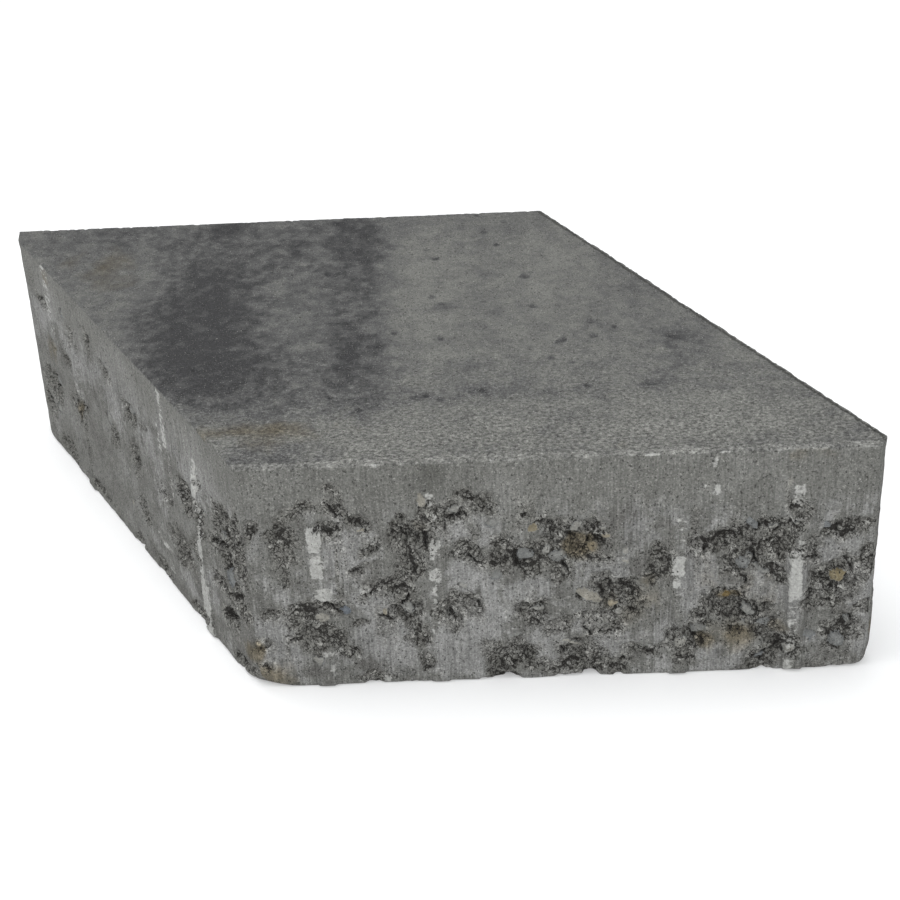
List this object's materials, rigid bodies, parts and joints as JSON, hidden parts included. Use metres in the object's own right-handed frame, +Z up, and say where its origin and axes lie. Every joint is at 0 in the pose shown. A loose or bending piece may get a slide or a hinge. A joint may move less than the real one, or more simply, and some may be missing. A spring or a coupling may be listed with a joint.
{
  "type": "rhombus concrete paving stone",
  "caption": "Thick rhombus concrete paving stone with blunted acute tips, upright spacer ribs on its sides and a smooth wearing face.",
  "frame": {"origin": "centre of the underside, where the stone rests", "axes": "+X along the front side towards the blunted acute tip, +Y from the front side to the back side, +Z up out of the wearing face"},
  "size_m": [0.279, 0.1682, 0.08],
  "materials": {
    "pressed_concrete": "grey vibro-pressed concrete: fine matt facing blended with anthracite on top, mould-skinned sides with open honeycomb"
  },
  "bodies": {
    "root": {"paving_stone": "pressed_concrete"}
  },
  "joints": []
}
